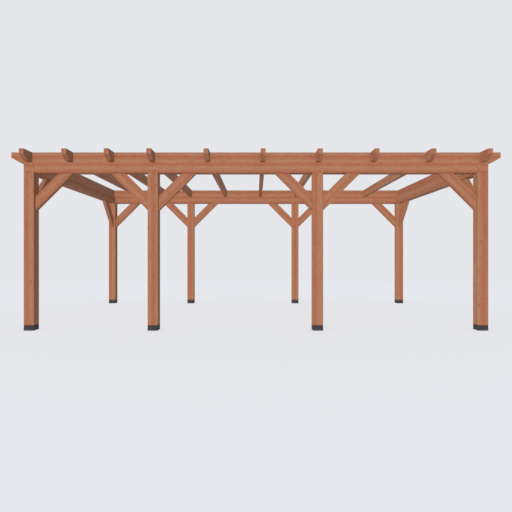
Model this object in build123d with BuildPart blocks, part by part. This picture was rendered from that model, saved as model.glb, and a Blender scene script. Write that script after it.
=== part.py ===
from build123d import *
import os
from math import radians, sqrt, tan

# Open timber frame over a patio. Origin on the ground at the middle of the frame,
# +X to the right along the front, +Y to the back, +Z up. Millimetres.

# Post grid: centre lines along the front and back rows, and the distance between the rows
left_bay = 1800
middle_bay = 2400
right_bay = 2400
row_spacing = 3630

# Posts and the feet that keep them off the ground; the beams and feet are as wide as the posts
post_size = 150
foot_size = post_size
foot_height = 80
clear_height = 2295

# Front and back beams, and the side beams that tie the rows together below the rafters
beam_width = post_size
beam_overhang = 180
side_beam_width = post_size
side_beam_height = 150

# Rafters
rafter_thickness = 70
rafter_height = 145
rafter_overhang = 235
corner_rafter_inset = 18
spaces_per_bay = 3

# Shaped ends of the beams and rafters: an upright nose above a sloped undercut
nose_height = 75
undercut_angle = 30

# Braces, set at 45 degrees between a post and the beam above it
brace_thickness = 70
brace_depth = 150
brace_leg = 550

# Eased timber edges, and the play at each side of a halving
edge_ease = 3
foot_ease = 4
joint_play = 0.3

# Heights and places that follow from the sizes above
rafter_bottom = clear_height + side_beam_height
rafter_top = rafter_bottom + rafter_height
halving = rafter_height / 2
undercut_run = (rafter_height - nose_height) / tan(radians(undercut_angle))

half_length = (left_bay + middle_bay + right_bay) / 2
post_places = [
    -half_length,
    -half_length + left_bay,
    half_length - right_bay,
    half_length,
]
rows = {"front": -row_spacing / 2, "back": row_spacing / 2}
sides = {"left": post_places[0], "right": post_places[-1]}

rafter_lines = [
    post_places[0] + corner_rafter_inset,
    *post_places[1:-1],
    post_places[-1] - corner_rafter_inset,
]
rafter_places = [
    start + (end - start) * space / spaces_per_bay
    for start, end in zip(rafter_lines, rafter_lines[1:])
    for space in range(spaces_per_bay)
]
rafter_places.append(rafter_lines[-1])

os.makedirs("parts", exist_ok=True)


def save(piece, name):
    piece.part.label = name
    export_step(piece.part, f"parts/{name}.step")


# Feet, one group for each row
for row, row_y in rows.items():
    with BuildPart() as feet:
        with BuildSketch():
            with Locations([(post_x, row_y) for post_x in post_places]):
                Rectangle(foot_size, foot_size)
        extrude(amount=foot_height)
        chamfer(feet.edges(), foot_ease)
    save(feet, f"{row}_post_feet")

# Posts, from the feet up to the underside of the beams
for row, row_y in rows.items():
    for number, post_x in enumerate(post_places, start=1):
        with BuildPart() as post:
            with BuildSketch(Plane.XY.offset(foot_height)):
                with Locations((post_x, row_y)):
                    Rectangle(post_size, post_size)
            extrude(amount=clear_height - foot_height)
            chamfer(post.edges(), edge_ease)
        save(post, f"{row}_post_{number}")

# Side beams, on the corner posts and through to the outer faces of both rows
for side, side_x in sides.items():
    with BuildPart() as side_beam:
        with BuildSketch(Plane.XY.offset(clear_height)):
            with Locations((side_x, 0)):
                Rectangle(side_beam_width, row_spacing + beam_width)
        extrude(amount=side_beam_height)
        chamfer(side_beam.edges(), edge_ease)
    save(side_beam, f"{side}_side_beam")

# Front and back beams. The lower part stands on the middle posts between the side beams, the
# upper part laps over the side beams at the corners, and slots in its top take the rafters.
beam_end = half_length + post_size / 2 + beam_overhang
beam_shoulder = half_length - side_beam_width / 2

for row, row_y in rows.items():
    beam_plane = Plane.XZ.offset(-row_y)
    with BuildPart() as beam:
        with BuildSketch(beam_plane):
            with BuildLine():
                Polyline(
                    (0, rafter_top),
                    (beam_end, rafter_top),
                    (beam_end, rafter_top - nose_height),
                    (beam_end - undercut_run, rafter_bottom),
                    (beam_shoulder, rafter_bottom),
                    (beam_shoulder, clear_height),
                    (0, clear_height),
                )
                mirror(about=Plane.YZ)
            make_face()
        extrude(amount=beam_width / 2, both=True)
        faces_to_ease = beam.faces().filter_by(Axis.Y)
        chamfer(faces_to_ease.edges(), edge_ease)
        with BuildSketch(beam_plane):
            with Locations([(rafter_x, rafter_top) for rafter_x in rafter_places]):
                Rectangle(rafter_thickness + 2 * joint_play, 2 * halving)
        extrude(amount=beam_width, both=True, mode=Mode.SUBTRACT)
    save(beam, f"{row}_beam")

# Rafters, halved over the front and back beams
rafter_end = (row_spacing + beam_width) / 2 + rafter_overhang

for number, rafter_x in enumerate(rafter_places, start=1):
    rafter_plane = Plane.YZ.offset(rafter_x)
    with BuildPart() as rafter:
        with BuildSketch(rafter_plane):
            with BuildLine():
                Polyline(
                    (0, rafter_top),
                    (rafter_end, rafter_top),
                    (rafter_end, rafter_top - nose_height),
                    (rafter_end - undercut_run, rafter_bottom),
                    (0, rafter_bottom),
                )
                mirror(about=Plane.YZ)
            make_face()
        extrude(amount=rafter_thickness / 2, both=True)
        faces_to_ease = rafter.faces().filter_by(Axis.X)
        chamfer(faces_to_ease.edges(), edge_ease)
        with BuildSketch(rafter_plane):
            with Locations([(row_y, rafter_bottom) for row_y in rows.values()]):
                Rectangle(beam_width + 2 * joint_play, 2 * halving)
        extrude(amount=rafter_thickness, both=True, mode=Mode.SUBTRACT)
    save(rafter, f"rafter_{number:02d}")


def make_brace(corner, away_from_post, name):
    """One mitred brace in the corner between a post's face and the underside of a beam."""
    inner_leg = brace_leg - brace_depth * sqrt(2)
    across = away_from_post.cross(Vector(0, 0, 1))
    with BuildPart() as brace:
        with BuildSketch(Plane(origin=corner, x_dir=away_from_post, z_dir=across)):
            with BuildLine():
                Polyline((inner_leg, 0), (brace_leg, 0), (0, -brace_leg), (0, -inner_leg), close=True)
            make_face()
        extrude(amount=brace_thickness / 2, both=True)
        faces_to_ease = brace.faces().filter_by(Plane(origin=corner, z_dir=across))
        chamfer(faces_to_ease.edges(), edge_ease)
    save(brace, name)


# Braces along the rows: one on each corner post, one on either side of each middle post
for row, row_y in rows.items():
    for number, post_x in enumerate(post_places, start=1):
        for direction, word in ((-1, "left"), (1, "right")):
            inside_the_row = abs(post_x + direction * post_size) < half_length
            if inside_the_row:
                corner = (post_x + direction * post_size / 2, row_y, clear_height)
                make_brace(corner, Vector(direction, 0, 0), f"{row}_brace_{number}_{word}")

# Braces under the side beams, one on each corner post
for side, side_x in sides.items():
    for row, row_y in rows.items():
        inwards = -1 if row_y > 0 else 1
        corner = (side_x, row_y + inwards * post_size / 2, clear_height)
        make_brace(corner, Vector(0, inwards, 0), f"{side}_side_brace_{row}")
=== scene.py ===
import bmesh
import bpy
import math
import random
from mathutils import Matrix, Vector


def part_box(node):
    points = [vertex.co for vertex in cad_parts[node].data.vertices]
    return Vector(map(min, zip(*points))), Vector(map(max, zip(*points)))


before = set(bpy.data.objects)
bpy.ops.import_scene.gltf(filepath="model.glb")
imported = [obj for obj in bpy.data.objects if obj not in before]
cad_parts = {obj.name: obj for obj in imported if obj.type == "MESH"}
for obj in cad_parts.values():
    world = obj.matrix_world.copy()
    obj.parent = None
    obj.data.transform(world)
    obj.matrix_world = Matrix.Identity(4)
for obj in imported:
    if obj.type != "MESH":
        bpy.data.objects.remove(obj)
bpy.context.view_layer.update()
print("frame loaded,", len(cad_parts), "nodes")


# Shader maths

class Signal:
    # One output of a shader node. Arithmetic on it adds Math nodes to the same tree.
    def __init__(self, tree, socket=None):
        self.tree = tree
        self.socket = socket

    def add(self, kind, settings=None, inputs=None, output=0):
        node = self.tree.nodes.new(kind)
        for name, value in (settings or {}).items():
            setattr(node, name, value)
        for name, value in (inputs or {}).items():
            if isinstance(value, Signal):
                self.tree.links.new(value.socket, node.inputs[name])
            else:
                node.inputs[name].default_value = value
        return Signal(self.tree, node.outputs[output])

    def math(self, operation, first, second=0.0):
        return self.add("ShaderNodeMath", {"operation": operation}, {0: first, 1: second})

    def __add__(self, other):
        return self.math("ADD", self, other)

    def __radd__(self, other):
        return self.math("ADD", other, self)

    def __sub__(self, other):
        return self.math("SUBTRACT", self, other)

    def __rsub__(self, other):
        return self.math("SUBTRACT", other, self)

    def __mul__(self, other):
        return self.math("MULTIPLY", self, other)

    def __rmul__(self, other):
        return self.math("MULTIPLY", other, self)

    def __truediv__(self, other):
        return self.math("DIVIDE", self, other)

    def __abs__(self):
        return self.math("ABSOLUTE", self)

    def fraction(self):
        return self.math("FRACT", self)

    def larger(self, other):
        return self.math("MAXIMUM", self, other)

    # 0 below low, 1 above high, and a smooth step between them
    def rise(self, low, high):
        return self.add("ShaderNodeMapRange", {"interpolation_type": "SMOOTHSTEP"},
                        {"Value": self, "From Min": low, "From Max": high})

    def vector(self, operation, *others, output=0):
        return self.add("ShaderNodeVectorMath", {"operation": operation},
                        dict(enumerate((self, *others))), output)

    def length(self):
        return self.vector("LENGTH", output="Value")

    # Stretches a place, so that a pattern read there is long one way and fine another
    def stretched(self, scale, shift=(0, 0, 0)):
        return self.vector("MULTIPLY_ADD", scale, shift)

    def noise(self, detail=2.0, output="Fac"):
        noiseInputs = {"Vector": self, "Scale": 1.0, "Detail": detail}
        return self.add("ShaderNodeTexNoise", None, noiseInputs, output)

    def scaledBy(self, factor):
        return self.add("ShaderNodeVectorMath", {"operation": "SCALE"}, {0: self, "Scale": factor})

    # Inputs 6 and 7 and output 2 are the colour sockets of a Mix node
    def mixedWith(self, other, factor):
        mixInputs = {0: factor, 6: self, 7: other}
        return self.add("ShaderNodeMix", {"data_type": "RGBA"}, mixInputs, 2)

    def plainColour(self, colour):
        plain = self.add("ShaderNodeRGB")
        plain.socket.default_value = (*colour, 1)
        return plain


def newMaterial(name):
    material = bpy.data.materials.new(name)
    material.use_nodes = True
    tree = material.node_tree
    shader = tree.nodes["Principled BSDF"]
    return material, Signal(tree), shader


def connect(signal, shader, socketName):
    signal.tree.links.new(signal.socket, shader.inputs[socketName])


def wear(node, material):
    node.data.materials.clear()
    node.data.materials.append(material)


# Stained timber. Lengths are in metres and colours are linear. A scale says how fine a pattern is
# along the grain, across the timber and through it, and an edge says where a pattern fades in.
timber = {
    "tanTone": (0.2375, 0.1060, 0.0575),
    "redTone": (0.2310, 0.0870, 0.0470),
    "paleTone": (0.2720, 0.1400, 0.0860),
    "knotTone": (0.2000, 0.0450, 0.0200),
    "fleckTone": (0.2270, 0.0660, 0.0330),
    "tone": 1.0,
    "toneSpread": 0.015,
    "seedReach": 40,

    # Red bands: how far apart they are, and where one lies from the timber's middle
    "postBand": (0.125, -0.020),
    "rafterBand": (0.095, -0.026),
    "beamBand": (0.105, 0.070),
    "bandShift": 0.08,
    "bandEdge": (0.10, 0.58),
    "driftScale": (6, 52, 18),
    "drift": 1.8,

    # Growth rings about a pith that lies beside the timber, its distance in half sizes of the timber
    "pithLean": 0.22,
    "pithDistance": (1.7, 2.6),
    "ringSpacing": 0.0052,
    "wanderScale": (0.7, 3.0, 3.0),
    "wander": 0.04,
    "ringWaveScale": (1.6, 12, 12),
    "ringWave": 1.5,
    "ringsRoundKnot": 1.6,
    "lateWoodStart": (0.45, 0.88),
    "lateWoodEnd": (0.92, 1.0),
    "lateWoodShade": 0.10,

    # Knots: the smallest radius and how much it varies, and edges in radii
    "knotScale": (3.2, 16.0, 16.0),
    "knotSquash": 0.55,
    "knotRadius": (0.002, 0.009),
    "knotEdge": (0.80, 1.02),
    "knotHaloEdge": (0.9, 3.2),
    "knotAmount": 0.6,
    "knotHaloAmount": 0.22,

    # Pale streaks between the red bands, and flecks in them
    "streakScale": (7, 100, 20),
    "streakEdge": (0.50, 0.62),
    "streakFromBand": (0.25, 0.7),
    "streakAmount": 0.62,
    "fleckScale": (60, 26, 26),
    "fleckWeight": 0.7,
    "fleckGrainScale": (30, 200, 200),
    "fleckGrainWeight": 0.3,
    "fleckEdge": (0.50, 0.66),
    "fleckFromBand": (0.30, 0.85),
    "fleckAmount": 0.8,

    "mottleScale": (34, 80, 80),
    "mottleShade": 0.09,
    "fibreScale": (14, 430, 430),
    "fibreShade": 0.10,

    # Drying checks: how often they open along the timber, how wide, and how soft their sides are
    "checkTurn": 0.04,
    "checkScale": 1.7,
    "checkSeedReach": 60,
    "checkOpen": (0.52, 0.72),
    "checkWidth": 0.0011,
    "checkSide": 0.0004,
    "checkShade": 0.6,

    # Rubbed edges
    "edgeWidth": 0.0045,
    "edgeRagScale": (9, 60, 60),
    "edgeRag": 0.004,
    "edgeAmount": 0.12,

    "roughness": 0.58,
    "fibreRoughness": 0.16,
    "lateWoodPolish": 0.05,
    "edgePolish": 0.06,
    "specular": 0.05,
    "bumpStrength": 0.6,
    "bumpDepth": 0.0008,
    "lateWoodRelief": 0.25,
    "fibreRelief": 0.25,
    "knotRelief": 0.3,
}


def timberAxes(name):
    # The grain's direction, and the direction across the timber's side
    if "brace" not in name:
        if "post" in name:
            return Vector((0, 0, 1)), Vector((1, 0, 0))
        if name in ("front_beam", "back_beam"):
            return Vector((1, 0, 0)), Vector((0, 1, 0))
        return Vector((0, 1, 0)), Vector((1, 0, 0))
    if "side" in name:
        inwards = 1 if name.endswith("front") else -1
        return Vector((0, inwards, 1)).normalized(), Vector((1, 0, 0))
    outwards = 1 if name.endswith("right") else -1
    return Vector((outwards, 0, 1)).normalized(), Vector((0, 1, 0))


def timberPlace(node, along, across):
    # The timber's middle, its turn and its half sizes along the grain, across it and through it
    through = along.cross(across)
    axes = Matrix((along, across, through))
    corners = [axes @ vertex.co for vertex in node.data.vertices]
    low = Vector([min(values) for values in zip(*corners)])
    high = Vector([max(values) for values in zip(*corners)])
    turn = axes.transposed()
    return turn @ ((low + high) / 2), turn.to_euler(), (high - low) / 2


def knotPattern(here):
    # Round in the wood and a little drawn out along the grain, each with a stain round it
    scale = timber["knotScale"]
    cell = here.stretched(scale)
    cellInputs = {"Vector": cell, "Scale": 1.0}
    site = here.add("ShaderNodeTexVoronoi", None, cellInputs, "Position")
    gauge = here.add("ShaderNodeTexVoronoi", None, cellInputs, "Color")
    toMetres = (timber["knotSquash"] / scale[0], 1 / scale[1], 1 / scale[2])
    fromSite = cell.vector("SUBTRACT", site).stretched(toMetres)
    smallest, spread = timber["knotRadius"]
    radius = gauge.vector("DOT_PRODUCT", (spread, 0.0, 0.0), output="Value") + smallest
    reach = fromSite.length() / radius
    knot = 1 - reach.rise(*timber["knotEdge"])
    halo = 1 - reach.rise(*timber["knotHaloEdge"])
    return knot, halo


def checkPattern(fromPith, run, outwards, dice):
    # A drying check: a thin split that runs out from the pith, open along parts of the timber
    turn = dice.uniform(-timber["checkTurn"], timber["checkTurn"])
    turned = Matrix.Rotation(turn, 3, "X") @ outwards
    sideways = Vector((0, -turned.z, turned.y))
    offPlane = abs(fromPith.vector("DOT_PRODUCT", sideways, output="Value"))
    runPlace = run * timber["checkScale"] + dice.uniform(0, timber["checkSeedReach"])
    opening = run.add("ShaderNodeTexNoise", {"noise_dimensions": "1D"},
                      {"W": runPlace, "Scale": 1.0, "Detail": 1.0})
    width = opening.rise(*timber["checkOpen"]) * timber["checkWidth"]
    return (width - offPlane).rise(0.0, timber["checkSide"])


def timberMaterial(node):
    dice = random.Random(node.name)
    along, across = timberAxes(node.name)
    middle, turn, half = timberPlace(node, along, across)
    material, start, shader = newMaterial(f"stainedTimber_{node.name}")

    # Own place of the timber: X runs with the grain. The seed gives each timber its own pattern.
    place = start.add("ShaderNodeTexCoord", output="Object")
    local = start.add("ShaderNodeMapping", {"vector_type": "TEXTURE"},
                      {"Vector": place, "Location": middle, "Rotation": turn})
    seed = Vector([dice.uniform(-timber["seedReach"], timber["seedReach"]) for _ in range(3)])
    here = local.vector("ADD", seed)
    knot, knotHalo = knotPattern(here)

    # Growth rings. The pith lies beside the timber, so the rings cross it in gentle arcs
    # and show as straight bands on the faces of posts and beams that look to the front.
    pithBeside = node.name.startswith("rafter") or "_post_" in node.name
    lean = dice.uniform(-timber["pithLean"], timber["pithLean"])
    outwards = Vector((0, math.cos(lean), math.sin(lean)))
    if not pithBeside:
        outwards = Vector((0, math.sin(lean), math.cos(lean)))
    outwards *= dice.choice((-1, 1))
    pithDistance = (half.y if pithBeside else half.z) * dice.uniform(*timber["pithDistance"])
    wander = here.stretched(timber["wanderScale"]).noise(output="Color")
    bend = timber["wander"]
    bent = local.vector("ADD", wander.stretched((0, bend, bend), (0, -bend / 2, -bend / 2)))
    fromPith = bent.vector("ADD", outwards * pithDistance)
    radius = fromPith.stretched((0, 1, 1)).length()
    ringWave = here.stretched(timber["ringWaveScale"]).noise() * timber["ringWave"]
    rings = radius / timber["ringSpacing"] + knotHalo * timber["ringsRoundKnot"] + ringWave
    year = rings.fraction()
    lateWood = year.rise(*timber["lateWoodStart"]) * (1 - year.rise(*timber["lateWoodEnd"]))

    # Red bands that follow the rings
    run, side, depth = [
        start.add("ShaderNodeSeparateXYZ", None, {"Vector": local}, axis) for axis in "XYZ"
    ]
    ringPlace = start.add("ShaderNodeCombineXYZ", None, {"X": run, "Y": radius, "Z": side + depth})
    ringPlace = ringPlace.vector("ADD", seed)
    kind = "post" if "_post_" in node.name else "rafter" if pithBeside else "beam"
    bandSpacing, bandPlace = timber[f"{kind}Band"]
    bandPlace *= outwards.y + outwards.z
    bandStart = 0.5 - (pithDistance + bandPlace) / bandSpacing
    bandStart += dice.uniform(-timber["bandShift"], timber["bandShift"])
    drift = (ringPlace.stretched(timber["driftScale"]).noise(detail=3.0) - 0.5) * timber["drift"]
    fromBand = abs((radius / bandSpacing + bandStart).fraction() - 0.5) * 2
    band = (fromBand + drift).rise(*timber["bandEdge"])

    # Pale streaks between the bands, flecks in them, and a fine mottle and fibre throughout
    streak = ringPlace.stretched(timber["streakScale"]).noise().rise(*timber["streakEdge"])
    streak = streak * fromBand.rise(*timber["streakFromBand"])
    fleck = here.stretched(timber["fleckScale"]).noise(detail=1.0)
    fleckGrain = here.stretched(timber["fleckGrainScale"]).noise(detail=1.0)
    fleck = fleck * timber["fleckWeight"] + fleckGrain * timber["fleckGrainWeight"]
    fleck = fleck.rise(*timber["fleckEdge"]) * (1 - fromBand.rise(*timber["fleckFromBand"]))
    mottle = here.stretched(timber["mottleScale"]).noise(detail=1.0)
    fibre = here.stretched(timber["fibreScale"]).noise()
    check = checkPattern(fromPith, run, outwards, dice)

    # Rubbed edges: the distance to the nearest long edge of the timber
    fromEdge = (half.y - abs(side)).larger(half.z - abs(depth))
    ragged = here.stretched(timber["edgeRagScale"]).noise() * timber["edgeRag"]
    rubbed = 1 - (fromEdge - ragged).rise(0.0, timber["edgeWidth"])

    pale = streak * timber["streakAmount"] + rubbed * timber["edgeAmount"]
    knotty = knot * timber["knotAmount"] + knotHalo * timber["knotHaloAmount"]
    colour = start.plainColour(timber["redTone"]).mixedWith((*timber["tanTone"], 1), band)
    colour = colour.mixedWith((*timber["paleTone"], 1), pale)
    colour = colour.mixedWith((*timber["fleckTone"], 1), fleck * timber["fleckAmount"])
    colour = colour.mixedWith((*timber["knotTone"], 1), knotty)
    tone = timber["tone"] + dice.uniform(-1, 1) * timber["toneSpread"]
    shade = tone - lateWood * timber["lateWoodShade"] - (fibre - 0.5) * timber["fibreShade"]
    shade = shade - (mottle - 0.5) * timber["mottleShade"]
    connect(colour.scaledBy(shade * (1 - check * timber["checkShade"])), shader, "Base Color")

    roughness = timber["roughness"] + fibre * timber["fibreRoughness"]
    roughness = roughness - lateWood * timber["lateWoodPolish"] - rubbed * timber["edgePolish"]
    connect(roughness, shader, "Roughness")
    relief = lateWood * timber["lateWoodRelief"] + fibre * timber["fibreRelief"]
    relief = relief - check + knot * timber["knotRelief"]
    bump = start.add("ShaderNodeBump", None, {
        "Strength": timber["bumpStrength"], "Distance": timber["bumpDepth"], "Height": relief,
    })
    connect(bump, shader, "Normal")
    shader.inputs["Specular IOR Level"].default_value = timber["specular"]
    return material


# Feet of dark moulded block, dusty towards the ground
foot = {
    "dark": (0.0305, 0.0295, 0.0280),
    "dusty": (0.054, 0.053, 0.051),
    "dustHeight": 0.045,
    "dustAmount": 0.6,
    "cloudScale": (14, 14, 14),
    "cloudEdge": (0.35, 0.7),
    "cloudRelief": 0.5,
    "gritScale": (260, 260, 260),
    "gritEdge": (0.58, 0.75),
    "gritAmount": 0.25,
    "gritRoughness": 0.2,
    "roughness": 0.62,
    "specular": 0.12,
    "bumpStrength": 0.5,
    "bumpDepth": 0.0006,
}


def footMaterial():
    material, start, shader = newMaterial("darkFoot")
    place = start.add("ShaderNodeTexCoord", output="Object")
    height = start.add("ShaderNodeSeparateXYZ", None, {"Vector": place}, "Z")
    grit = place.stretched(foot["gritScale"]).noise(detail=3.0)
    cloud = place.stretched(foot["cloudScale"]).noise(detail=3.0)
    dust = (1 - height.rise(0.0, foot["dustHeight"])) * cloud.rise(*foot["cloudEdge"])
    dusty = dust * foot["dustAmount"] + grit.rise(*foot["gritEdge"]) * foot["gritAmount"]
    colour = start.plainColour(foot["dark"]).mixedWith((*foot["dusty"], 1), dusty)
    connect(colour, shader, "Base Color")
    connect(foot["roughness"] + grit * foot["gritRoughness"], shader, "Roughness")
    relief = grit + cloud * foot["cloudRelief"]
    bump = start.add("ShaderNodeBump", None, {
        "Strength": foot["bumpStrength"], "Distance": foot["bumpDepth"], "Height": relief,
    })
    connect(bump, shader, "Normal")
    shader.inputs["Specular IOR Level"].default_value = foot["specular"]
    return material


footFinish = footMaterial()
for name, node in sorted(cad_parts.items()):
    isFoot = name.endswith("feet")
    wear(node, footFinish if isFoot else timberMaterial(node))
print("materials made,", len(bpy.data.materials))


# Stage: a pale floor that fades into the background, warm and cool lamps and a cool sky. Each
# lamp has its strength, its tint and the direction that its light comes from.
warm = (1.0, 0.94, 0.90)
neutral = (1.0, 1.0, 1.0)
cool = (1.0, 1.2, 1.4)
studio = {
    "background": (0.784, 0.799, 0.831),
    "sky": (0.392, 0.479, 0.580),
    "floor": (0.473, 0.456, 0.445),
    "floorRadius": 60.0,
    "floorSegments": 96,
    "fadeStart": 7.0,
    "fadeEnd": 14.0,
    "lightAngle": 6.0,
    "lights": {
        "key": (4.92, warm, (-0.60, -0.80, 0.14)),
        "back": (1.7, warm, (0.0, 1.0, -0.06)),
        "top": (3.8, neutral, (0.0, 0.70, 0.714)),
        "right": (0.88, cool, (1.0, 0.0, 1.0)),
        "under": (0.38, cool, (-0.62, -0.45, -0.74)),
    },
}


def makeFloor():
    mesh = bpy.data.meshes.new("floor")
    shape = bmesh.new()
    bmesh.ops.create_circle(shape, cap_ends=True, segments=studio["floorSegments"],
                            radius=studio["floorRadius"])
    shape.to_mesh(mesh)
    shape.free()
    floor = bpy.data.objects.new("floor", mesh)
    bpy.context.scene.collection.objects.link(floor)

    material, start, shader = newMaterial("paleFloor")
    place = start.add("ShaderNodeTexCoord", output="Object")
    far = place.length().rise(studio["fadeStart"], studio["fadeEnd"])
    near = start.add("ShaderNodeBsdfDiffuse", None, {"Color": (*studio["floor"], 1)})
    glow = start.add("ShaderNodeEmission", None, {"Color": (*studio["background"], 1)})
    both = start.add("ShaderNodeMixShader", None, {0: far, 1: near, 2: glow})
    output = material.node_tree.nodes["Material Output"]
    material.node_tree.links.new(both.socket, output.inputs["Surface"])
    material.node_tree.nodes.remove(shader)
    wear(floor, material)


def makeWorld():
    world = bpy.data.worlds.new("studio")
    world.use_nodes = True
    start = Signal(world.node_tree)
    # The camera sees the background's colour, and the frame is lit by the sky's
    seen = start.add("ShaderNodeLightPath", output="Is Camera Ray")
    glow = start.plainColour(studio["sky"]).mixedWith((*studio["background"], 1), seen)
    world.node_tree.links.new(glow.socket, world.node_tree.nodes["Background"].inputs["Color"])
    bpy.context.scene.world = world


def makeLight(name, strength, tint, fromWhere):
    # A broad even light that casts no shadow and shows in no reflection
    light = bpy.data.lights.new(name, "SUN")
    light.energy = strength
    light.color = tint
    light.angle = math.radians(studio["lightAngle"])
    light.use_shadow = False
    lamp = bpy.data.objects.new(name, light)
    bpy.context.scene.collection.objects.link(lamp)
    lamp.rotation_euler = Vector(fromWhere).to_track_quat("Z", "Y").to_euler()
    lamp.visible_glossy = False


makeFloor()
makeWorld()
for name, (strength, tint, fromWhere) in studio["lights"].items():
    makeLight(name, strength, tint, fromWhere)
bpy.context.scene.view_settings.view_transform = "Standard"
print("stage and light set")


# Camera: level and square to the front. Its distance is to the front faces, and a pitch of 90 is level.
camera = {"distance": 6.265, "eyeHeight": 1.085, "pitch": 90.0, "lens": 30.34, "sensor": 36.0}


def makeCamera():
    data = bpy.data.cameras.new("camera")
    data.lens = camera["lens"]
    data.sensor_width = camera["sensor"]
    eye = bpy.data.objects.new("camera", data)
    bpy.context.scene.collection.objects.link(eye)
    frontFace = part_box("front_post_1")[0].y
    eye.location = (0, frontFace - camera["distance"], camera["eyeHeight"])
    eye.rotation_euler = (math.radians(camera["pitch"]), 0, 0)
    bpy.context.scene.camera = eye


makeCamera()
print("camera set")
